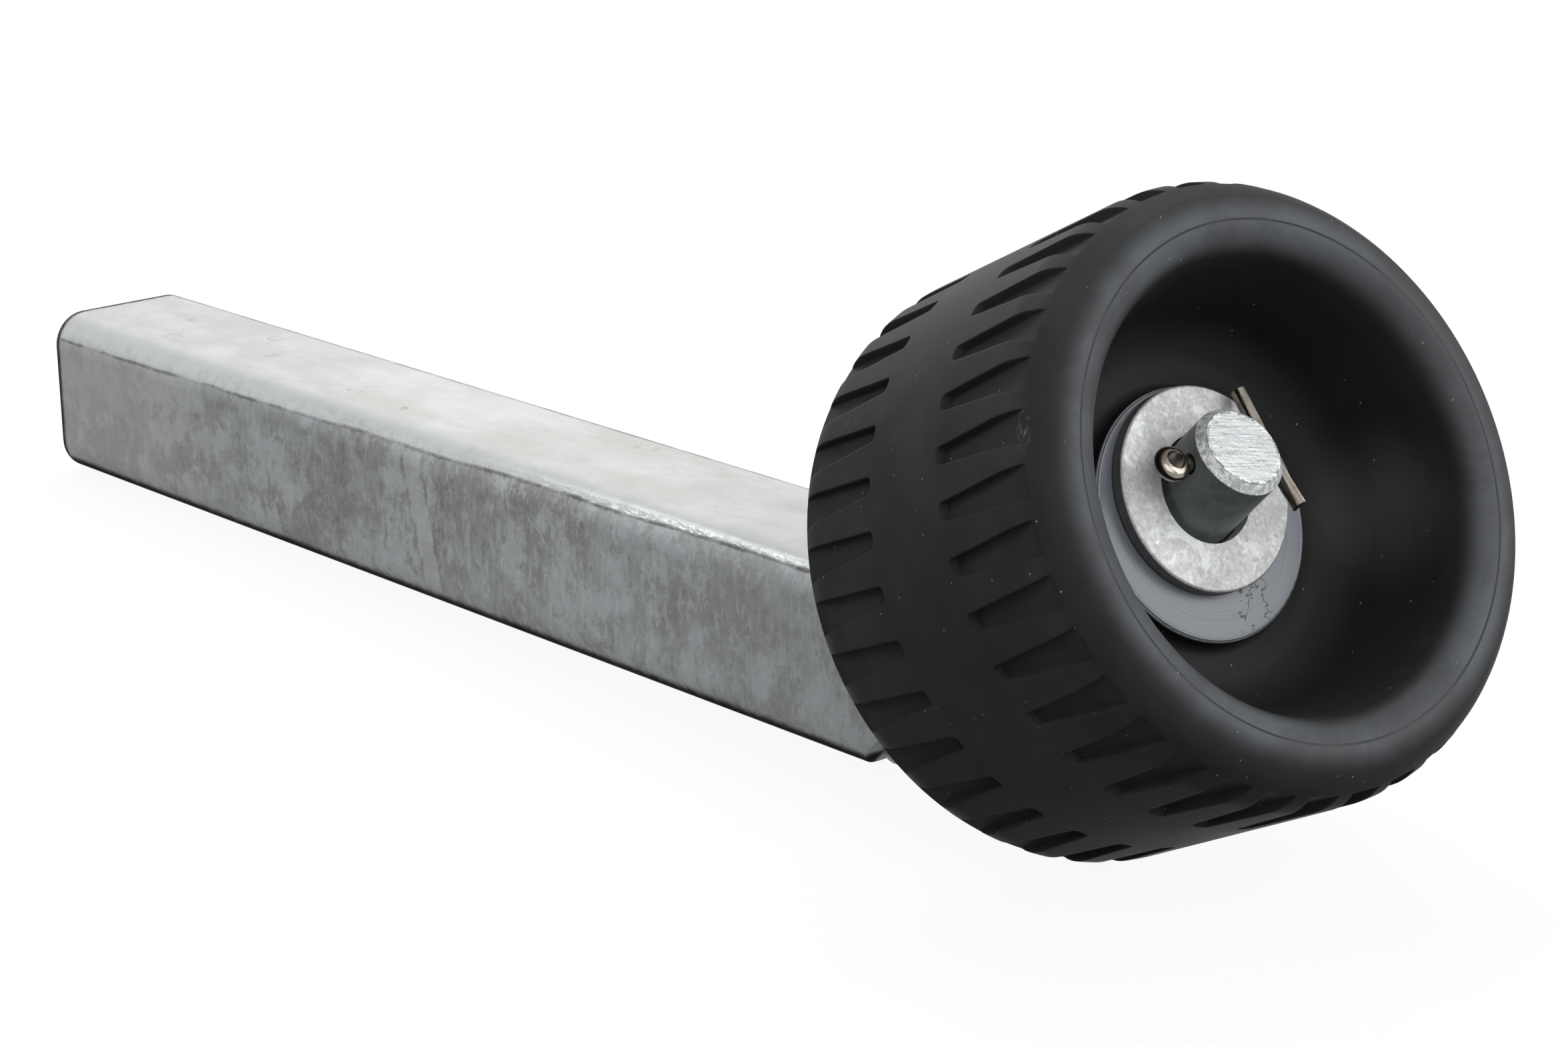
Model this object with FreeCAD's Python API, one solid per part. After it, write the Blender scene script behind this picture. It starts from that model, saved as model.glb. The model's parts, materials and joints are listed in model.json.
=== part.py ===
import FreeCAD, Part
import math
import os

os.makedirs("parts", exist_ok=True)

V = FreeCAD.Vector

# Driving sizes, in millimetres and degrees

# Stem: square box section along X from its free end, with the other end mitred
stem_side = 40.0
stem_wall = 4.0
stem_corner = 8.0
stem_reach = 315.5
stem_end_rounding = 0.8
mitre_angle = 45.0

# Spindle: round bar that lies along the mitre
spindle_dia = 18.0
spindle_lift = 3.5
spindle_foot = 25.0
spindle_tip = 82.2
spindle_chamfer = 1.6

# Welds between the spindle and the stem
weld_size = 3.0
weld_half_arc = 68.0
weld_crown = 0.6
weld_seat = 0.1

# Roller: rubber moulding, the same at both ends
roller_dia = 113.8
roller_width = 76.8
shoulder_rounding = 13.7
shoulder_sweep = 50.0
crest_rounding = 6.6
dish_corner = 10.0
dish_floor_width = 1.8
boss_foot = 1.6
boss_height = 4.0
hub_length = 24.0
hub_dia = 47.4
hub_edge = 0.8
wobble_angle = 18.9
roller_swing = 9.5
roller_lift = 0.65
bore_clearance = 0.3

# Wedge recesses in the tread, one row to each side of the middle
recess_count = 36
recess_depth = 1.9
recess_start = 10.15
recess_narrow = 3.3
recess_wide = 6.4
recess_corner = 1.1
recess_phase = 8.6

# Washers
washer_dia = 38.2
washer_hole = 20.4
washer_thickness = 2.8
washer_edge = 0.4
front_washer_station = 68.2
face_gap = 0.2
washer_rest_gap = 0.3

# Split pin: two half-round legs from one wire, bent apart behind the spindle
pin_dia = 3.2
pin_hole_dia = 3.8
pin_from_tip = 5.2
pin_turn = 12.0
pin_eye_dia = 7.0
pin_eye_gap = 0.25
pin_bend_radius = 1.8
pin_bend_start = 0.05
pin_eye_overlap = 0.95
pin_upper_leg = 13.4
pin_lower_leg = 8.0
pin_upper_bend = 95.0
pin_lower_bend = 78.0


# Places and directions worked out from the sizes

spindle_radius = spindle_dia / 2
mitre = math.radians(mitre_angle)
wobble = math.radians(wobble_angle)
swing = math.radians(roller_swing)

spindle_crossing = V(stem_reach + spindle_lift / math.sin(mitre), 0, 0)
spindle_axis = V(math.cos(mitre), 0, math.sin(mitre))
spindle_up = V(-math.sin(mitre), 0, math.cos(mitre))

# The roller droops from the bar's line, in a direction that is swung a little round the bar
droop = spindle_up * math.cos(swing) + V(0, 1, 0) * math.sin(swing)
roller_axis = spindle_axis * math.cos(wobble) - droop * math.sin(wobble)
roller_up = V(0, 0, 1) - roller_axis * roller_axis.z
roller_up.normalize()

# The floor lifts the roller a little, so the rear end of its bore meets the bar from below
washer_to_centre = washer_thickness / 2 + face_gap + hub_length / 2
roller_sag = washer_to_centre * math.tan(wobble) - roller_lift
bore_radius = (spindle_radius + bore_clearance) / math.cos(wobble)
bore_radius = bore_radius + hub_length / 2 * math.tan(wobble) + roller_lift

# The shoulder's arc runs into the crest's smaller arc without a corner
sweep = math.radians(shoulder_sweep)
tread_radius = roller_dia / 2
crest_station = roller_width / 2 - crest_rounding
shoulder_station = crest_station - (shoulder_rounding - crest_rounding) * math.sin(sweep)
shoulder_centre_radius = tread_radius - shoulder_rounding
crest_radius = shoulder_centre_radius + (shoulder_rounding - crest_rounding) * math.cos(sweep)


def on_spindle(station):
    return spindle_crossing + spindle_axis * station


def frame_at(origin, along, up):
    turn = FreeCAD.Rotation(up, along.cross(up), along, "ZXY")
    return FreeCAD.Placement(origin, turn)


def placed(shape, origin, along, up):
    moved = shape.copy()
    moved.Placement = frame_at(origin, along, up).multiply(moved.Placement)
    return moved


# The rear washer rests against the ends of the upper bead
bead_end_x = stem_side / 2 / math.tan(mitre)
bead_end_x = bead_end_x - spindle_radius / math.sin(mitre) * math.cos(math.radians(weld_half_arc))
bead_top = bead_end_x * math.cos(mitre) + stem_side / 2 * math.sin(mitre) + weld_size
rear_washer_station = bead_top + washer_rest_gap + washer_thickness / 2

washer_centre = on_spindle(front_washer_station)
roller_centre = washer_centre - roller_axis * washer_to_centre - roller_up * roller_sag


# Stem

def rounded_square(side, corner, x):
    half = side / 2
    box = Part.makeBox(1, side, side, V(x, -half, -half))
    edges = [e for e in box.Edges if abs(e.tangentAt(e.FirstParameter).x) > 0.99]
    box = box.makeFillet(corner, edges)
    return next(f for f in box.Faces if f.BoundBox.XMax < x + 0.5)


def mitre_block():
    size = stem_side * 4
    block = Part.makeBox(size, size, size, V(0, -size / 2, -size / 2))
    block.rotate(V(0, 0, 0), V(0, 1, 0), 90 - mitre_angle)
    block.translate(V(stem_reach, 0, 0))
    return block


def make_stem():
    length = stem_reach + stem_side
    outer = rounded_square(stem_side, stem_corner, 0).extrude(V(length, 0, 0))
    end_edges = [e for e in outer.Edges if e.BoundBox.XMax < 0.01]
    outer = outer.makeFillet(stem_end_rounding, end_edges)
    inner_side = stem_side - 2 * stem_wall
    inner = rounded_square(inner_side, stem_corner - stem_wall, 0).extrude(V(length, 0, 0))
    seat = Part.makeCylinder(
        spindle_radius + weld_seat,
        spindle_foot + spindle_tip,
        on_spindle(-spindle_foot),
        spindle_axis,
    )
    return outer.cut(inner).cut(mitre_block()).cut(seat)


# Spindle, with the cross hole for the split pin

pin_centre = on_spindle(spindle_tip - pin_from_tip)
pin_roll = math.radians(pin_turn)
pin_along = V(0, 1, 0) * math.cos(pin_roll) - spindle_up * math.sin(pin_roll)
pin_up = spindle_axis.cross(pin_along)


def make_spindle():
    corner = spindle_tip - spindle_chamfer
    face = spindle_radius - spindle_chamfer * 0.85
    outline = Part.makePolygon([
        V(0, 0, -spindle_foot),
        V(spindle_radius, 0, -spindle_foot),
        V(spindle_radius, 0, corner),
        V(face, 0, spindle_tip),
        V(0, 0, spindle_tip),
        V(0, 0, -spindle_foot),
    ])
    bar = Part.Face(outline).revolve(V(0, 0, 0), V(0, 0, 1), 360)
    bar = placed(bar, spindle_crossing, spindle_axis, spindle_up)
    hole = Part.makeCylinder(
        pin_hole_dia / 2,
        spindle_dia + 2,
        pin_centre - pin_along * (spindle_radius + 1),
        pin_along,
    )
    return bar.cut(hole)


# Welds

def bead_along(edge, size):
    start = edge.valueAt(edge.FirstParameter)
    end = edge.valueAt(edge.LastParameter)
    heading = edge.tangentAt(edge.FirstParameter)
    section = Part.Wire([Part.makeCircle(size, start, heading)])
    bead = Part.Wire([edge]).makePipeShell([section], True, False)
    return bead.fuse([Part.makeSphere(size, start), Part.makeSphere(size, end)])


def make_weld_top(stem, spindle):
    # The bead follows the line where the bar leaves the upper wall
    height = stem_side / 2
    middle = spindle_crossing + V(height / math.tan(mitre), 0, height)
    joint = Part.Ellipse(middle, spindle_radius / math.sin(mitre), spindle_radius)
    half_arc = math.radians(weld_half_arc)
    edge = Part.ArcOfEllipse(joint, math.pi - half_arc, math.pi + half_arc).toShape()
    return bead_along(edge, weld_size).cut(stem).cut(spindle)


def make_weld_bottom(stem, spindle):
    # The bead runs across the lower edge of the mitre, under the bar's foot
    size = weld_size * 1.2
    z = -(stem_side / 2 + weld_crown - size)
    x = stem_reach + z / math.tan(mitre)
    edge = Part.makeLine(V(x, -spindle_radius, z), V(x, spindle_radius, z))
    return bead_along(edge, size).cut(stem).cut(spindle)


# Roller

def arc(a, b, c):
    return Part.Arc(a, b, c).toShape()


def line(a, b):
    return Part.makeLine(a, b)


def toward(centre, direction, radius):
    return centre + direction * (radius / direction.Length)


def roller_half_outline():
    # Points hold radius and distance from the middle plane
    def at(radius, station):
        return V(radius, 0, station)

    half = roller_width / 2
    hub_station = hub_length / 2
    hub_radius = hub_dia / 2
    floor_station = hub_station - boss_height
    edge_mid = hub_edge * (1 - math.cos(math.radians(45)))
    foot_mid = boss_foot * (1 - math.cos(math.radians(45)))

    shoulder_centre = at(shoulder_centre_radius, shoulder_station)
    crest_centre = at(crest_radius, crest_station)
    corner_radius = hub_radius + boss_foot + dish_floor_width
    corner_centre = at(corner_radius, floor_station + dish_corner)

    # The dish's wall is the straight line that touches the crest's arc and the floor corner's arc
    across = corner_centre - crest_centre
    share = (crest_rounding + dish_corner) / across.Length
    across.normalize()
    aside = V(across.z, 0, -across.x)
    inward = across * share + aside * math.sqrt(1 - share * share)
    wall_top = crest_centre + inward * crest_rounding
    wall_foot = corner_centre - inward * dish_corner

    outward = at(math.cos(sweep), math.sin(sweep))
    half_outward = at(math.cos(sweep / 2), math.sin(sweep / 2))
    tread_end = at(tread_radius, shoulder_station)
    shoulder_mid = toward(shoulder_centre, half_outward, shoulder_rounding)
    shoulder_end = toward(crest_centre, outward, crest_rounding)
    corner_mid = toward(corner_centre, V(0, 0, -1) - inward, dish_corner)
    return [
        line(at(tread_radius, 0), tread_end),
        arc(tread_end, shoulder_mid, shoulder_end),
        arc(shoulder_end, at(crest_radius, half), wall_top),
        line(wall_top, wall_foot),
        arc(wall_foot, corner_mid, at(corner_radius, floor_station)),
        line(at(corner_radius, floor_station), at(hub_radius + boss_foot, floor_station)),
        arc(
            at(hub_radius + boss_foot, floor_station),
            at(hub_radius + foot_mid, floor_station + foot_mid),
            at(hub_radius, floor_station + boss_foot),
        ),
        line(at(hub_radius, floor_station + boss_foot), at(hub_radius, hub_station - hub_edge)),
        arc(
            at(hub_radius, hub_station - hub_edge),
            at(hub_radius - edge_mid, hub_station - edge_mid),
            at(hub_radius - hub_edge, hub_station),
        ),
        line(at(hub_radius - hub_edge, hub_station), at(bore_radius, hub_station)),
        line(at(bore_radius, hub_station), at(bore_radius, 0)),
    ]


def recess_cutter():
    # Wedge seen from outside the tread: it widens from a rounded end to where it runs out
    floor_radius = tread_radius - recess_depth
    run_out = math.acos(1 - recess_depth / shoulder_rounding)
    run_out_station = shoulder_station + shoulder_rounding * math.sin(run_out)
    end = roller_width / 2 + 3
    spread = (recess_wide - recess_narrow) / 2 / (run_out_station - recess_start)
    narrow = recess_narrow / 2
    wide = narrow + spread * (end - recess_start)
    points = [
        V(floor_radius, -wide, end),
        V(floor_radius, -narrow, recess_start + recess_corner),
        V(floor_radius, recess_corner - narrow, recess_start),
        V(floor_radius, narrow - recess_corner, recess_start),
        V(floor_radius, narrow, recess_start + recess_corner),
        V(floor_radius, wide, end),
    ]
    bulge = recess_corner * (1 - math.cos(math.radians(45)))
    low_corner = V(floor_radius, bulge - narrow, recess_start + bulge)
    high_corner = V(floor_radius, narrow - bulge, recess_start + bulge)
    wire = Part.Wire([
        line(points[0], points[1]),
        arc(points[1], low_corner, points[2]),
        line(points[2], points[3]),
        arc(points[3], high_corner, points[4]),
        line(points[4], points[5]),
        line(points[5], points[0]),
    ])
    return Part.Face(wire).extrude(V(recess_depth + 3, 0, 0))


def make_roller():
    upper = Part.Wire(roller_half_outline())
    lower = upper.mirror(V(0, 0, 0), V(0, 0, 1))
    profile = Part.Face(Part.Wire(upper.Edges + lower.Edges[::-1]))
    body = profile.revolve(V(0, 0, 0), V(0, 0, 1), 360)
    cutter = recess_cutter()
    mirrored = cutter.mirror(V(0, 0, 0), V(0, 0, 1))
    cutters = []
    for i in range(recess_count):
        angle = recess_phase + i * 360.0 / recess_count
        for shape in (cutter, mirrored):
            turned = shape.copy()
            turned.rotate(V(0, 0, 0), V(0, 0, 1), angle)
            cutters.append(turned)
    body = body.cut(cutters)
    return placed(body, roller_centre, roller_axis, roller_up)


# Washers

def make_washer(centre, along, up):
    half = washer_thickness / 2
    outer = washer_dia / 2
    inner = washer_hole / 2
    outline = Part.makePolygon([
        V(inner, 0, -half),
        V(outer - washer_edge, 0, -half),
        V(outer, 0, -half + washer_edge),
        V(outer, 0, half - washer_edge),
        V(outer - washer_edge, 0, half),
        V(inner, 0, half),
        V(inner, 0, -half),
    ])
    ring = Part.Face(outline).revolve(V(0, 0, 0), V(0, 0, 1), 360)
    return placed(ring, centre, along, up)


# Split pin

def half_round(centre, along, bulge):
    # Half disc with its flat side through centre, facing away from the bulge
    radius = pin_dia / 2
    side = along.cross(bulge)
    curve = arc(centre + side * radius, centre + bulge * radius, centre - side * radius)
    flat = line(centre - side * radius, centre + side * radius)
    return Part.Wire([curve, flat])


def make_leg(sign, bend_angle, straight):
    # Local axes: X along the pin, Z the way this leg bends
    out = V(0, 0, sign)
    along = V(1, 0, 0)
    start = V(-spindle_radius - pin_eye_gap - pin_eye_overlap, 0, 0)
    bend_start = V(spindle_radius + pin_bend_start, 0, 0)
    centre = bend_start + out * pin_bend_radius
    bend = math.radians(bend_angle)

    def on_bend(angle):
        return centre + along * pin_bend_radius * math.sin(angle) - out * pin_bend_radius * math.cos(angle)

    heading = along * math.cos(bend) + out * math.sin(bend)
    bend_end = on_bend(bend)
    path = Part.Wire([
        line(start, bend_start),
        arc(bend_start, on_bend(bend / 2), bend_end),
        line(bend_end, bend_end + heading * straight),
    ])
    section = half_round(start, along, out)
    return path.makePipeShell([section], True, False)


def make_eye():
    radius = pin_eye_dia / 2
    inner = radius - pin_dia / 2
    centre = V(-spindle_radius - pin_eye_gap - radius, 0, 0)
    section = half_round(centre + V(inner, 0, 0), V(0, 0, 1), V(1, 0, 0))
    return Part.Face(section).revolve(centre, V(0, 1, 0), 360)


def make_split_pin():
    upper = make_leg(1, pin_upper_bend, pin_upper_leg)
    lower = make_leg(-1, pin_lower_bend, pin_lower_leg)
    pin = make_eye().fuse([upper, lower]).removeSplitter()
    # Local X runs along the hole and local Z up, so local Y lies along the spindle
    turn = FreeCAD.Rotation(pin_along, pin_up.cross(pin_along), pin_up, "XZY")
    pin.Placement = FreeCAD.Placement(pin_centre, turn)
    return pin


# One file for each piece

stem = make_stem()
spindle = make_spindle()
pieces = {
    "stem_tube": stem,
    "spindle": spindle,
    "weld_top": make_weld_top(stem, spindle),
    "weld_bottom": make_weld_bottom(stem, spindle),
    "rear_washer": make_washer(on_spindle(rear_washer_station), spindle_axis, spindle_up),
    "roller": make_roller(),
    "front_washer": make_washer(washer_centre, roller_axis, roller_up),
    "split_pin": make_split_pin(),
}
for node, shape in pieces.items():
    shape.Solids[0].exportStep("parts/" + node + ".step")
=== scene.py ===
import json
import math
from types import SimpleNamespace

import bpy
from mathutils import Matrix, Vector


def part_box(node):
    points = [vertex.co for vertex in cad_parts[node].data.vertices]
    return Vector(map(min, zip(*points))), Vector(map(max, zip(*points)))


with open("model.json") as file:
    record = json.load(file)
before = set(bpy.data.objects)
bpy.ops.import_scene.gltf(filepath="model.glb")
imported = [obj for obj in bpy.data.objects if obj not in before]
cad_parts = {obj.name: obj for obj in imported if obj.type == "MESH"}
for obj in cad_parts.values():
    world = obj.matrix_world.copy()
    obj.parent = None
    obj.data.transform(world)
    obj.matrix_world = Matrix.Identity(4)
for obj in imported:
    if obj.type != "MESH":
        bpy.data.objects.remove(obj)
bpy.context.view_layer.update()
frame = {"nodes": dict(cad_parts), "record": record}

# Places and sizes on the part, in metres, in the row's frame

joints = {joint["name"]: joint for joint in frame["record"]["behaviour"]["joints"]}
washer_centre = Vector(joints["wobble"]["pos_m"])
roller_centre = Vector(joints["spin"]["pos_m"])
roller_axis = Vector(joints["spin"]["axis"]).normalized()
roller_up = (Vector((0, 0, 1)) - roller_axis * roller_axis.z).normalized()
roller_side = roller_axis.cross(roller_up)
hub_station = 0.012
hub_radius = 0.0237
crest_radius = 0.0470

front_washer_station = 0.0682
rear_washer_station = 0.02961
washer_radius = 0.0191
bar_tip = 0.0822
bar_axis = Vector((math.sqrt(0.5), 0, math.sqrt(0.5)))
bar_up = Vector((-math.sqrt(0.5), 0, math.sqrt(0.5)))
bar_foot = washer_centre - bar_axis * front_washer_station

stem_half = 0.020
zinc_run_x = 0.1549
zinc_run_lean = -0.245
zinc_run_half_width = 0.0036


# Helpers for node graphs

class Graph:
    def __init__(self, tree):
        self.tree = tree
        self.nodes = tree.nodes

    def put(self, socket, value):
        if isinstance(value, bpy.types.NodeSocket):
            self.tree.links.new(value, socket)
        else:
            socket.default_value = value

    def node(self, kind, **values):
        node = self.nodes.new(kind)
        for key, value in values.items():
            setattr(node, key, value)
        return node

    def math(self, operation, a, b=0.0, c=0.0):
        node = self.node("ShaderNodeMath", operation=operation)
        for socket, value in zip(node.inputs, (a, b, c)):
            self.put(socket, value)
        return node.outputs[0]

    def times(self, first, *others):
        for other in others:
            first = self.math("MULTIPLY", first, other)
        return first

    def largest(self, first, *others):
        for other in others:
            first = self.math("MAXIMUM", first, other)
        return first

    def vector(self, operation, a, b=(0.0, 0.0, 0.0), scale=None):
        node = self.node("ShaderNodeVectorMath", operation=operation)
        self.put(node.inputs[0], a)
        self.put(node.inputs[1], b)
        if scale is not None:
            self.put(node.inputs["Scale"], scale)
        return node.outputs["Value" if operation in ("DOT_PRODUCT", "LENGTH") else "Vector"]

    def shift(self, place, offset):
        return self.vector("ADD", place, offset)

    def stretch(self, place, factors):
        return self.vector("MULTIPLY", place, factors)

    def pick(self, colour):
        return self.vector("DOT_PRODUCT", colour, (1.0, 0.0, 0.0))

    def coords(self):
        return self.node("ShaderNodeTexCoord").outputs["Object"]

    def about_axis(self, place, centre, axis):
        out = self.vector("SUBTRACT", place, tuple(centre))
        station = self.vector("DOT_PRODUCT", out, tuple(axis))
        on_axis = self.vector("SCALE", tuple(axis), scale=station)
        return out, station, self.vector("LENGTH", self.vector("SUBTRACT", out, on_axis))

    def joined(self, x, y=0.0):
        node = self.node("ShaderNodeCombineXYZ")
        self.put(node.inputs[0], x)
        self.put(node.inputs[1], y)
        return node.outputs[0]

    def noise(self, place, scale, detail=3.0, rough=0.55, distort=0.0, out="Fac"):
        node = self.node("ShaderNodeTexNoise")
        self.put(node.inputs["Vector"], place)
        self.put(node.inputs["Scale"], scale)
        self.put(node.inputs["Detail"], detail)
        self.put(node.inputs["Roughness"], rough)
        self.put(node.inputs["Distortion"], distort)
        return node.outputs[out]

    def cells(self, place, scale, out="Distance"):
        node = self.node("ShaderNodeTexVoronoi")
        self.put(node.inputs["Vector"], place)
        self.put(node.inputs["Scale"], scale)
        return node.outputs[out]

    def range(self, value, low, high, to_low=0.0, to_high=1.0, smooth=True):
        node = self.node("ShaderNodeMapRange")
        node.interpolation_type = "SMOOTHSTEP" if smooth else "LINEAR"
        self.put(node.inputs["Value"], value)
        self.put(node.inputs["From Min"], low)
        self.put(node.inputs["From Max"], high)
        self.put(node.inputs["To Min"], to_low)
        self.put(node.inputs["To Max"], to_high)
        return node.outputs["Result"]

    def line(self, value, middle, outer, inner):
        off = self.math("ABSOLUTE", self.math("SUBTRACT", value, middle))
        return self.range(off, outer, inner)

    def mix(self, factor, a, b):
        node = self.node("ShaderNodeMix", data_type="RGBA")
        self.put(node.inputs[0], factor)
        for socket, value in ((node.inputs[6], a), (node.inputs[7], b)):
            self.put(socket, value if isinstance(value, bpy.types.NodeSocket) else (*value, 1.0))
        return node.outputs[2]

    def layers(self, colour, *layers):
        for value, low, high, amount, tone in layers:
            colour = self.mix(self.range(value, low, high, 0.0, amount), colour, tone)
        return colour

    def bump(self, height, distance, strength=1.0, normal=None):
        node = self.node("ShaderNodeBump")
        self.put(node.inputs["Height"], height)
        self.put(node.inputs["Distance"], distance)
        self.put(node.inputs["Strength"], strength)
        if normal is not None:
            self.put(node.inputs["Normal"], normal)
        return node.outputs["Normal"]

    def seen(self):
        rays = self.node("ShaderNodeLightPath").outputs
        return self.largest(rays["Is Camera Ray"], rays["Is Glossy Ray"], rays["Is Transmission Ray"])


def new_material(name):
    material = bpy.data.materials.new(name)
    material.use_nodes = True
    return material, Graph(material.node_tree)


def dress(material, **values):
    g = Graph(material.node_tree)
    shader = g.nodes["Principled BSDF"]
    for key, value in values.items():
        g.put(shader.inputs[key.replace("_", " ")], value)
    return material


# Stem: hot-dip galvanising, blotched and streaky on the sides, pale and cloudy on top

def stem_noises(g):
    place = g.coords()
    split = g.node("ShaderNodeSeparateXYZ")
    g.put(split.inputs[0], place)
    x, y, z = split.outputs
    broad = g.noise(g.stretch(place, (0.7, 1.0, 1.0)), 42.0, 3.0, 0.5)
    streak = g.noise(g.stretch(place, (1.0, 1.0, 0.12)), 700.0, 3.0, 0.6)
    blotch = g.noise(place, 105.0, 7.0, 0.66, 0.35)
    blotch = g.math("ADD", blotch, g.math("MULTIPLY_ADD", broad, 0.45, -0.225))
    blotch = g.math("ADD", blotch, g.math("MULTIPLY_ADD", streak, 0.16, -0.08))
    return SimpleNamespace(
        place=place, x=x, y=y, z=z, broad=broad, blotch=blotch, streak=streak,
        second=g.noise(g.shift(place, (0.31, 0.17, 0.05)), 150.0, 7.0, 0.68, 0.2),
        haze=g.noise(g.shift(place, (0.07, 0.23, 0.11)), 60.0, 4.0, 0.6, 0.2),
        fleck=g.noise(g.shift(place, (0.19, 0.03, 0.27)), 330.0, 6.0, 0.7, 0.5),
        fine=g.noise(place, 620.0, 5.0, 0.7)
    )


def stem_side_colour(g, n):
    ground = g.mix(g.range(n.broad, 0.38, 0.62), (0.27, 0.262, 0.254), (0.36, 0.372, 0.378))
    pale = g.math("MULTIPLY_ADD", n.haze, 0.5, g.math("MULTIPLY", n.blotch, 0.5))
    side = g.layers(
        ground,
        (n.blotch, 0.42, 0.58, 0.85, (0.408, 0.430, 0.440)),
        (pale, 0.51, 0.57, 0.65, (0.54, 0.567, 0.582)),
        (n.second, 0.54, 0.64, 0.7, (0.225, 0.217, 0.207)),
        (n.streak, 0.55, 0.72, 0.4, (0.58, 0.60, 0.61)),
        (n.fleck, 0.56, 0.66, 0.5, (0.52, 0.55, 0.57)),
        (n.fleck, 0.44, 0.34, 0.4, (0.25, 0.245, 0.24))
    )

    # Short crystalline strokes, strongest towards the roller
    stroke_place = g.stretch(g.shift(n.place, (0.41, 0.0, 0.13)), (1.0, 1.0, 0.4))
    strokes = g.noise(stroke_place, 460.0, 6.0, 0.74, 0.8)
    crystals = g.range(n.x, 0.09, 0.19, 0.3, 1.0)
    side = g.mix(g.times(g.range(strokes, 0.53, 0.60, 0.0, 0.5), crystals), side, (0.62, 0.65, 0.665))
    side = g.mix(g.times(g.range(strokes, 0.46, 0.39, 0.0, 0.5), crystals), side, (0.245, 0.243, 0.24))

    # Fine grain, and a paler tone near both ends
    return g.layers(
        side,
        (n.fine, 0.35, 0.7, 0.35, (0.47, 0.49, 0.50)),
        (n.fine, 0.42, 0.3, 0.3, (0.22, 0.215, 0.205)),
        (n.x, 0.20, 0.29, 0.32, (0.47, 0.50, 0.515)),
        (n.x, 0.085, 0.02, 0.55, (0.56, 0.553, 0.545))
    )


def zinc_run(g, n):
    wander = g.noise(g.stretch(n.place, (0.2, 0.2, 1.0)), 260.0, 4.0, 0.7)
    wander = g.math("MULTIPLY_ADD", wander, 0.006, -0.003)
    run_x = g.math("ADD", g.math("MULTIPLY_ADD", n.z, zinc_run_lean, zinc_run_x), wander)
    off_run = g.math("ABSOLUTE", g.math("SUBTRACT", n.x, run_x))
    on_near_side = g.range(n.y, -stem_half + 0.001, -stem_half + 0.0002)
    run = g.times(g.range(off_run, zinc_run_half_width, 0.0024), on_near_side)
    edge = g.times(g.line(off_run, zinc_run_half_width, 0.0007, 0.0002), on_near_side)
    return run, g.times(edge, g.range(n.second, 0.4, 0.6, 0.2, 1.0))


def stem_top_colour(g, n):
    cloud = g.noise(g.stretch(n.place, (0.45, 1.0, 1.0)), 70.0, 6.0, 0.62, 0.3)
    top = g.mix(g.range(cloud, 0.35, 0.65), (0.412, 0.410, 0.398), (0.490, 0.497, 0.492))
    top = g.layers(top, (n.x, 0.15, 0.02, 0.5, (0.35, 0.355, 0.352)))

    # A few dark rings and specks
    waver = g.vector("SCALE", g.noise(n.place, 300.0, out="Color"), scale=0.003)
    spot = g.cells(g.vector("ADD", n.place, waver), 95.0)
    chosen = g.range(g.pick(g.cells(n.place, 95.0, out="Color")), 0.72, 0.78)
    ring = g.times(g.line(spot, 0.2, 0.07, 0.0), chosen, g.range(n.second, 0.42, 0.58))
    top = g.mix(g.times(ring, 0.7), top, (0.22, 0.21, 0.19))
    return g.layers(top, (n.fine, 0.60, 0.72, 0.5, (0.28, 0.27, 0.25)))


# Thin dark lines: painted shade along the lower edges, the far upper edge and the sawn end, and a dark
# line along the seam

def stem_shade_and_seam_lines(g, n, above_seam):
    ragged = g.math("MULTIPLY_ADD", n.fine, 0.0016, -0.0008)
    # Painted shade darkening the lower edges towards the underside
    low = g.times(
        g.range(g.math("ADD", n.z, ragged), -0.0150, -0.0172),
        g.range(g.math("ABSOLUTE", n.y), 0.0125, 0.0145)
    )
    # Painted shade: a dark outline along the sawn end
    end = g.times(g.range(g.math("ADD", n.x, ragged), 0.0027, 0.0012), g.range(n.x, 0.0, 0.0004))
    # Painted shade: a dark outline along the far upper edge, broken up by noise
    far_edge_shade = g.times(
        g.range(n.y, 0.0128, 0.0142), g.range(n.y, 0.0163, 0.0153), g.range(n.z, 0.010, 0.014),
        g.range(n.second, 0.38, 0.62, 0.3, 0.75)
    )
    seam = g.times(
        g.range(g.math("ABSOLUTE", above_seam), 0.0006, 0.0001), g.range(n.y, -0.016, -0.0175),
        g.range(n.second, 0.4, 0.6, 0.1, 0.55)
    )
    return g.largest(low, end, far_edge_shade, seam)


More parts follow.
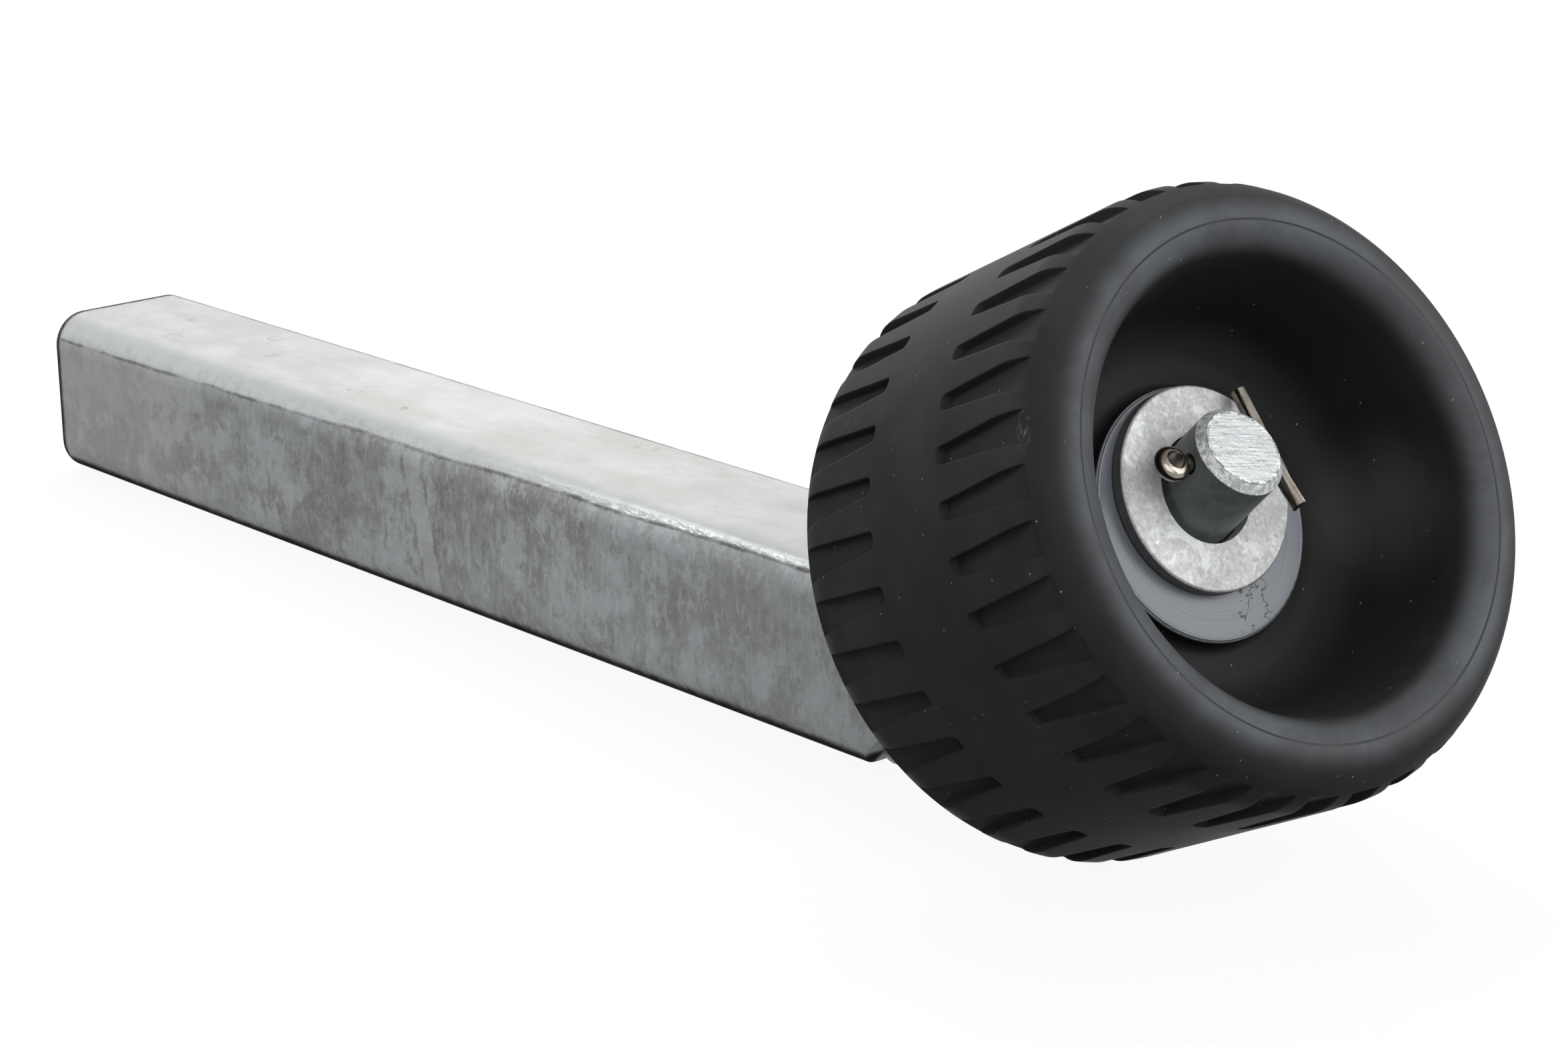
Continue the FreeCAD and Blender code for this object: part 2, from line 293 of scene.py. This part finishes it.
def stem_material():
    material, g = new_material("stem_zinc")
    n = stem_noises(g)
    run, run_edge = zinc_run(g, n)
    side = g.mix(g.times(run, 0.65), stem_side_colour(g, n), (0.55, 0.57, 0.575))
    side = g.mix(g.times(run_edge, 0.5), side, (0.2, 0.2, 0.19))
    on_top = g.range(n.z, stem_half - 0.0025, stem_half - 0.0005)
    colour = g.mix(on_top, side, stem_top_colour(g, n))

    # Rounded near edge: smoother and bluish above its seam, its paler band a painted highlight, with
    # bright ridges towards the roller
    seam_z = g.math("MULTIPLY_ADD", n.x, 0.011, g.math("MULTIPLY_ADD", n.broad, -0.002, 0.0153))
    above_seam = g.math("SUBTRACT", n.z, seam_z)
    near_edge = g.times(g.range(n.y, -0.0125, -0.0150), g.range(above_seam, -0.0003, 0.0004))
    # Painted highlight: the paler band along the rounded edge
    edge_painted_light = g.mix(g.range(n.z, 0.0155, 0.0190), (0.66, 0.69, 0.70), (0.46, 0.475, 0.475))
    colour = g.mix(g.times(near_edge, g.range(n.fleck, 0.35, 0.6, 0.6, 0.95)), colour, edge_painted_light)
    # Painted highlight: white glints on the ridges towards the roller
    glint = g.noise(g.stretch(n.place, (0.5, 1.0, 1.0)), 900.0, 3.0, 0.6, 0.5)
    glint = g.times(
        g.range(glint, 0.55, 0.62), g.range(n.x, 0.17, 0.26), near_edge, g.range(n.z, 0.0186, 0.0172)
    )
    colour = g.mix(g.times(glint, 0.9), colour, (0.95, 0.96, 0.96))
    dark = stem_shade_and_seam_lines(g, n, above_seam)
    # Painted shade lines and the seam line darken the colour here
    colour = g.mix(g.times(dark, 0.92), colour, (0.028, 0.025, 0.022))

    below_top = g.range(n.z, 0.0190, 0.0178)
    glossy = g.times(near_edge, g.range(n.x, 0.15, 0.27), below_top)
    relief = g.math("ADD", g.times(n.blotch, 0.6), g.times(n.fine, 0.35))
    relief = g.math("ADD", relief, g.times(run, 0.5))
    ridge = g.noise(g.stretch(n.place, (0.22, 1.0, 1.0)), 900.0, 4.0, 0.6, 0.8)
    normal = g.bump(g.times(ridge, glossy, below_top), 0.0012, 0.7, g.bump(relief, 0.0005, 0.45))
    rough = g.math("SUBTRACT", g.range(n.blotch, 0.47, 0.55, 0.64, 0.54), g.times(glossy, 0.25))
    metal = g.times(g.math("MULTIPLY_ADD", glossy, 0.3, 0.1), g.math("SUBTRACT", 1.0, dark))
    return dress(
        material, Base_Color=colour, Metallic=metal, Roughness=g.math("MULTIPLY_ADD", dark, 0.3, rough),
        Normal=normal, Specular_IOR_Level=g.range(dark, 0.0, 1.0, 0.4, 0.02, smooth=False)
    )


# Washers and welds: mottled zinc

def mottled_zinc(g, place, scale, light, dark, crystal_scale):
    clouds = g.noise(place, scale, 5.0, 0.62, 0.4)
    fine = g.noise(place, scale * 7, 4.0, 0.65)
    crystals = g.vector("DOT_PRODUCT", g.cells(place, crystal_scale, out="Color"), (0.33, 0.33, 0.33))
    colour = g.layers(
        g.mix(g.range(clouds, 0.36, 0.64), dark, light),
        (fine, 0.58, 0.72, 0.5, tuple(c * 1.35 for c in light)),
        (fine, 0.40, 0.30, 0.4, tuple(c * 0.6 for c in dark))
    )
    relief = g.math("ADD", g.times(clouds, 0.5), g.times(fine, 0.35))
    return colour, g.math("ADD", relief, g.times(crystals, 0.15))


def washer_material(name, centre, axis):
    material, g = new_material(name)
    place = g.coords()
    out, station, radius = g.about_axis(place, centre, axis)
    colour, relief = mottled_zinc(
        g, place, 330.0, (0.575, 0.587, 0.592), (0.485, 0.492, 0.493), 1500.0
    )
    scratch = g.noise(g.stretch(g.shift(place, (0.02, 0.01, 0.0)), (0.18, 1.0, 1.0)), 1500.0, 2.0, 0.6)
    colour = g.layers(colour, (scratch, 0.66, 0.72, 0.5, (0.75, 0.76, 0.77)))
    fleck = g.noise(g.shift(place, (0.013, 0.007, 0.0)), 1100.0, 5.0, 0.72, 0.3)
    colour = g.mix(g.range(fleck, 0.36, 0.62), g.mix(0.55, colour, (0.30, 0.305, 0.305)), colour)
    stain = g.noise(g.shift(place, (0.05, 0.02, 0.03)), 150.0, 6.0, 0.68, 0.6)
    colour = g.layers(
        colour,
        (fleck, 0.62, 0.70, 0.8, (0.80, 0.81, 0.82)),
        (stain, 0.52, 0.62, 0.6, (0.36, 0.362, 0.36)),
        (stain, 0.45, 0.38, 0.7, (0.70, 0.715, 0.72))
    )

    # Painted light: paler towards the near side; painted shade: a dark rim on the edge
    near = g.vector("DOT_PRODUCT", out, tuple(roller_side))
    colour = g.layers(colour, (near, 0.004, 0.015, 0.7, g.vector("SCALE", colour, scale=1.45)))
    # Painted shade: the washer's edge darkened
    rim = g.range(radius, washer_radius - 0.00025, washer_radius - 0.00005)
    colour = g.mix(g.times(rim, 0.85), colour, (0.045, 0.043, 0.04))

    sparkle = g.noise(place, 2600.0, 2.0, 0.6)
    sparkling = g.range(g.noise(place, 260.0, 3.0, 0.5), 0.58, 0.68)
    normal = g.bump(g.times(sparkle, sparkling), 0.0003, 0.35, g.bump(relief, 0.0003, 0.6))
    return dress(
        material, Base_Color=colour, Metallic=g.range(rim, 0.0, 1.0, 0.15, 0.0),
        Roughness=g.range(fleck, 0.3, 0.7, 0.6, 0.42), Normal=normal
    )


def weld_material():
    material, g = new_material("weld_zinc")
    place = g.coords()
    colour, relief = mottled_zinc(g, place, 220.0, (0.42, 0.43, 0.435), (0.27, 0.27, 0.26), 900.0)
    ripple = g.node("ShaderNodeTexWave", wave_type="BANDS", bands_direction="Y")
    g.put(ripple.inputs["Vector"], place)
    g.put(ripple.inputs["Scale"], 190.0)
    g.put(ripple.inputs["Distortion"], 2.0)
    normal = g.bump(ripple.outputs["Fac"], 0.0004, 0.8, g.bump(relief, 0.0004, 0.7))
    return dress(material, Base_Color=colour, Metallic=0.3, Roughness=0.48, Normal=normal)


# Bar: dull round side, chipped chamfer and a sawn end with fine, nearly level strokes

def bar_material():
    material, g = new_material("bar_zinc")
    place = g.coords()
    out, station, radius = g.about_axis(place, bar_foot, bar_axis)
    across = g.vector("DOT_PRODUCT", out, tuple((bar_up * 0.97 + Vector((0, 0.24, 0))).normalized()))
    along = g.vector("DOT_PRODUCT", out, tuple((Vector((0, 0.97, 0)) - bar_up * 0.24).normalized()))

    tone = g.noise(place, 260.0, 5.0, 0.6, 0.3)
    side = g.mix(g.range(tone, 0.35, 0.65), (0.128, 0.140, 0.142), (0.190, 0.206, 0.210))
    chip = g.noise(place, 620.0, 4.0, 0.65)
    chamfer = g.mix(g.range(chip, 0.38, 0.62), (0.42, 0.44, 0.445), (0.80, 0.815, 0.82))

    strokes = g.noise(g.joined(g.times(along, 0.06), across), 1900.0, 4.0, 0.65, 0.3)
    sawn = g.mix(g.range(strokes, 0.3, 0.7), (0.50, 0.525, 0.535), (0.74, 0.755, 0.76))
    pitted = g.range(g.pick(g.cells(place, 900.0, out="Color")), 0.86, 0.9)
    pit = g.times(g.range(g.cells(place, 900.0), 0.3, 0.1), pitted)
    sawn = g.mix(g.times(pit, 0.6), sawn, (0.2, 0.21, 0.21))

    ragged = g.math("MULTIPLY_ADD", g.noise(place, 1300.0, 4.0, 0.7), 0.0006, -0.0003)
    on_face = g.range(station, bar_tip - 0.00008, bar_tip - 0.00002, smooth=False)
    on_chamfer = g.range(g.math("ADD", station, ragged), bar_tip - 0.0019, bar_tip - 0.0016)
    rim = g.times(on_face, g.range(g.math("MULTIPLY_ADD", chip, 0.0016, radius), 0.0078, 0.0080))
    rim_tone = g.mix(g.range(chip, 0.45, 0.55), (0.16, 0.17, 0.17), (0.82, 0.83, 0.83))
    colour = g.mix(on_face, g.mix(on_chamfer, side, chamfer), sawn)
    colour = g.mix(g.times(rim, 0.75), colour, rim_tone)
    height = g.math("MULTIPLY_ADD", g.times(chip, on_chamfer), 2.0, g.times(on_face, strokes))
    return dress(
        material, Base_Color=colour, Metallic=g.range(on_face, 0.0, 1.0, 0.2, 0.45),
        Roughness=g.range(tone, 0.3, 0.7, 0.42, 0.52),
        Normal=g.bump(height, 0.00025, 0.8, g.bump(tone, 0.0003, 0.4))
    )


def pin_material():
    material, g = new_material("pin_wire")
    place = g.coords()
    scratches = g.noise(g.stretch(place, (1.0, 0.15, 1.0)), 1800.0, 2.0)
    tone = g.noise(place, 300.0, 3.0)
    return dress(
        material, Base_Color=g.mix(g.range(tone, 0.35, 0.7), (0.31, 0.28, 0.245), (0.16, 0.135, 0.11)),
        Metallic=1.0, Roughness=g.range(tone, 0.3, 0.7, 0.14, 0.3),
        Normal=g.bump(scratches, 0.00005, 0.5)
    )


# Roller: satin black rubber with a bloom and a painted sheen on its crests, painted shade in the dishes
# and on the shoulders, a painted highlight on one dish wall, parting lines, dust and a paler hub with a
# painted highlight on its lip

def hub_colour(g, place, tone, rings):
    hub = g.mix(g.range(rings, 0.3, 0.7), (0.135, 0.146, 0.166), (0.175, 0.187, 0.210))
    hub = g.layers(hub, (tone, 0.3, 0.7, 0.4, (0.20, 0.214, 0.238)))

    # A torn mark below the washer
    torn_at = roller_centre + roller_axis * hub_station - roller_up * 0.0178 - roller_side * 0.0050
    torn_place = g.stretch(g.vector("SUBTRACT", place, tuple(torn_at)), (1.0, 1.35, 1.0))
    torn_zone = g.range(g.vector("LENGTH", torn_place), 0.0085, 0.004)
    cracks = g.noise(g.stretch(place, (1.0, 0.6, 1.0)), 230.0, 4.0, 0.6, 0.6)
    torn = g.times(torn_zone, g.line(cracks, 0.5, 0.012, 0.004))
    return g.mix(g.times(torn, 0.8), hub, (0.015, 0.015, 0.017)), torn


# A pale scuff on the shoulder beside one recess

def scuff_mark(g, place):
    scuff_at = roller_centre + roller_axis * 0.0327 + roller_up * 0.0196 + roller_side * 0.0514
    around = g.vector("SUBTRACT", place, tuple(scuff_at))
    along_axis = g.vector("DOT_PRODUCT", around, tuple(roller_axis))
    narrowed = g.vector("SCALE", tuple(roller_axis), scale=g.times(along_axis, 2.0))
    around = g.vector("ADD", around, narrowed)
    scuff = g.range(g.vector("LENGTH", around), 0.0058, 0.002)
    return g.times(scuff, g.range(g.noise(around, 700.0, 4.0, 0.7), 0.5, 0.62))


def rubber_material():
    material, g = new_material("roller_rubber")
    place = g.coords()
    out, station, radius = g.about_axis(place, roller_centre, roller_axis)
    outward = g.math("ABSOLUTE", station)
    tone = g.noise(place, 60.0, 5.0, 0.6)
    cloud = g.noise(place, 38.0, 6.0, 0.62, 0.5)
    grain = g.noise(place, 2600.0, 2.0, 0.6)

    # Ground, with painted shade darkening the dishes and the shoulders
    colour = g.mix(g.range(tone, 0.3, 0.75), (0.038, 0.040, 0.0385), (0.054, 0.0565, 0.055))
    in_dish = g.times(g.range(radius, 0.0430, 0.0400), g.range(outward, 0.0375, 0.0350))
    colour = g.mix(g.times(in_dish, 0.8), colour, (0.011, 0.0115, 0.0115))
    colour = g.layers(colour, (outward, 0.0300, 0.0345, 0.45, (0.014, 0.0145, 0.0145)))

    # A painted highlight: a soft pale patch on the dish wall, away from the split pin's eye
    painted_highlight_at = tuple(roller_centre + Vector((0.0228, 0.0357, 0.0018)))
    painted_wall_highlight = g.range(g.vector("LENGTH", g.vector("SUBTRACT", place, painted_highlight_at)), 0.0185, 0.001)
    painted_wall_highlight = g.times(painted_wall_highlight, g.range(cloud, 0.35, 0.65, 0.45, 0.75))
    colour = g.mix(painted_wall_highlight, colour, (0.085, 0.090, 0.084))

    # Bloom on the crest with a painted sheen, faint on its outer half
    on_crest = g.times(g.range(outward, 0.0335, 0.0378), g.range(radius, 0.0395, 0.0445))
    inner_crest = g.range(radius, 0.0520, 0.0478)
    bloom_and_painted_sheen = g.times(on_crest, g.range(cloud, 0.42, 0.62, 0.5, 1.0))
    bloom_and_painted_sheen = g.times(bloom_and_painted_sheen, g.math("MULTIPLY_ADD", inner_crest, 0.85, 0.15))
    colour = g.mix(g.times(bloom_and_painted_sheen, 0.85), colour, (0.100, 0.107, 0.119))

    # Mould parting lines round the middle and on each crest
    middle = g.line(station, 0.0003, 0.00035, 0.0001)
    crest_line = g.times(
        g.line(radius, crest_radius, 0.00022, 0.00008), g.range(outward, 0.034, 0.036),
        g.range(cloud, 0.4, 0.6, 0.25, 0.9)
    )
    colour = g.mix(g.times(crest_line, 0.8), colour, (0.003, 0.003, 0.003))

    # Hub faces: smooth and paler, with turned rings and a lip with a painted highlight
    on_hub = g.times(
        g.range(radius, hub_radius + 0.0004, hub_radius),
        g.range(outward, hub_station - 0.0009, hub_station - 0.0003),
        g.range(outward, hub_station + 0.001, hub_station + 0.0005)
    )
    rings = g.noise(g.joined(radius), 1500.0, 3.0, 0.6)
    hub, torn = hub_colour(g, place, tone, rings)
    lip_and_highlight = g.largest(
        g.line(radius, hub_radius - 0.0006, 0.00030, 0.0001), g.line(radius, hub_radius, 0.00022, 0.0001)
    )
    lip_and_highlight = g.times(lip_and_highlight, on_hub)
    colour = g.mix(on_hub, colour, hub)
    # Painted highlight: the lip's rings lightened
    colour = g.mix(g.times(lip_and_highlight, 0.5), colour, (0.3, 0.31, 0.33))

    # Scuff and dust
    colour = g.mix(g.times(scuff_mark(g, place), 0.75), colour, (0.17, 0.175, 0.17))
    dusted = g.range(g.pick(g.cells(place, 360.0, out="Color")), 0.62, 0.66)
    specks = g.times(g.range(g.cells(place, 360.0), 0.085, 0.04), dusted)
    colour = g.mix(g.times(specks, 0.75), colour, (0.33, 0.32, 0.30))

    relief = g.math("SUBTRACT", g.times(middle, 0.12), crest_line)
    relief = g.math("ADD", relief, g.times(rings, 0.25, on_hub))
    relief = g.math("SUBTRACT", relief, g.times(torn, on_hub))
    relief = g.math("ADD", relief, g.times(lip_and_highlight, 0.6))
    soft_edges = g.node("ShaderNodeBevel", samples=6)
    g.put(soft_edges.inputs["Radius"], 0.0006)
    normal = g.bump(relief, 0.00025, 0.8, g.bump(grain, 0.00006, 0.3, soft_edges.outputs[0]))
    rough = g.range(tone, 0.3, 0.75, 0.40, 0.48)
    shine = g.math("ADD", g.range(in_dish, 0.0, 1.0, 0.01, 0.06), g.times(on_crest, inner_crest, 0.12))
    return dress(
        material, Base_Color=colour, Roughness=g.math("MULTIPLY_ADD", on_hub, -0.1, rough),
        Normal=normal, Specular_IOR_Level=g.math("ADD", shine, g.times(on_hub, 0.35))
    )


def assign(node, material):
    for slot in frame["nodes"][node].material_slots:
        slot.material = material


assign("stem_tube", stem_material())
assign("spindle", bar_material())
assign("front_washer", washer_material("front_washer_zinc", washer_centre, roller_axis))
rear_washer_centre = bar_foot + bar_axis * rear_washer_station
assign("rear_washer", washer_material("rear_washer_zinc", rear_washer_centre, bar_axis))
weld_zinc = weld_material()
assign("weld_top", weld_zinc)
assign("weld_bottom", weld_zinc)
assign("split_pin", pin_material())
assign("roller", rubber_material())


# Floor: it meets the lower edge of the stem's free end and the roller's rear shoulder

def floor_slope(edge):
    roller = frame["nodes"]["roller"].data
    return max((edge - vertex.co.z) / vertex.co.x for vertex in roller.vertices)


def floor_material():
    material, g = new_material("floor_white")
    g.nodes.remove(g.nodes["Principled BSDF"])
    seen_directly = g.node("ShaderNodeLightPath").outputs["Is Camera Ray"]
    diffuse = g.node("ShaderNodeBsdfDiffuse")
    g.put(diffuse.inputs["Color"], g.mix(seen_directly, (0.08, 0.08, 0.08), (0.95, 0.95, 0.95)))
    glow = g.node("ShaderNodeEmission")
    glow.inputs["Strength"].default_value = 1.0
    look = g.node("ShaderNodeMixShader")
    g.put(look.inputs[0], g.times(g.seen(), 0.93))
    g.put(look.inputs[1], diffuse.outputs[0])
    g.put(look.inputs[2], glow.outputs[0])
    g.put(g.nodes["Material Output"].inputs["Surface"], look.outputs[0])
    return material


floor_size = 12
stem_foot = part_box("stem_tube")[0][2]
tilt = math.atan(floor_slope(stem_foot))
bpy.ops.mesh.primitive_plane_add(size=floor_size, location=(0, 0, stem_foot), rotation=(0, tilt, 0))
floor = bpy.context.object
floor.name = "floor"
floor.data.materials.append(floor_material())


# World: pale surround, white where the camera or a reflection sees it

surround_light = 0.36
world = bpy.data.worlds.new("surround")
bpy.context.scene.world = world
world.use_nodes = True
g = Graph(world.node_tree)
background = g.nodes["Background"]
background.inputs["Color"].default_value = (1, 1, 1, 1)
g.put(background.inputs["Strength"], g.math("MULTIPLY_ADD", g.seen(), 1 - surround_light, surround_light))


# Lamps: a large soft panel overhead, two before the roller's front and two weak ones on its left

def panel(name, place, aim, size, power):
    data = bpy.data.lights.new(name, "AREA")
    data.shape = "RECTANGLE"
    data.size, data.size_y = size
    data.energy = power
    lamp = bpy.data.objects.new(name, data)
    bpy.context.collection.objects.link(lamp)
    lamp.location = place
    lamp.rotation_euler = (aim - place).to_track_quat("-Z", "Y").to_euler()


part_middle = Vector((0.25, 0, 0.03))
panel("overhead", Vector((-0.35, 0.4, 1.2)), part_middle, (1.1, 0.9), 15.5)
for name, offset, size, power in (
    ("front_right", (0.78, 0.57, 0.48), (0.8, 0.8), 6),
    ("front", (0.90, -0.39, 0.60), (0.8, 0.8), 4.6),
    ("back_left", (-1.12, 0.36, 0.26), (0.6, 0.4), 1.0),
    ("left", (-0.60, -0.95, 0.66), (0.6, 0.6), 2.6)
):
    panel(name, roller_centre + Vector(offset), roller_centre, size, power)


# Camera: solved from the photograph, in the row's frame, with its focal length in pixels

photo_width = 2352
focal_length = 5686.38
sensor_width = 36.0
right = Vector((0.65498, 0.7555, -0.01472))
down = Vector((0.20789, -0.19889, -0.95772))
ahead = Vector((-0.72648, 0.62423, -0.28733))
camera_place = (0.81354, -0.4808, 0.23856)

data = bpy.data.cameras.new("camera")
data.sensor_width = sensor_width
data.lens = focal_length * sensor_width / photo_width
data.clip_start = 0.01
camera = bpy.data.objects.new("camera", data)
bpy.context.collection.objects.link(camera)
turn = Matrix((right, -down, -ahead)).transposed().to_4x4()
camera.matrix_world = Matrix.Translation(camera_place) @ turn

scene = bpy.context.scene
scene.camera = camera
scene.view_settings.view_transform = "Standard"
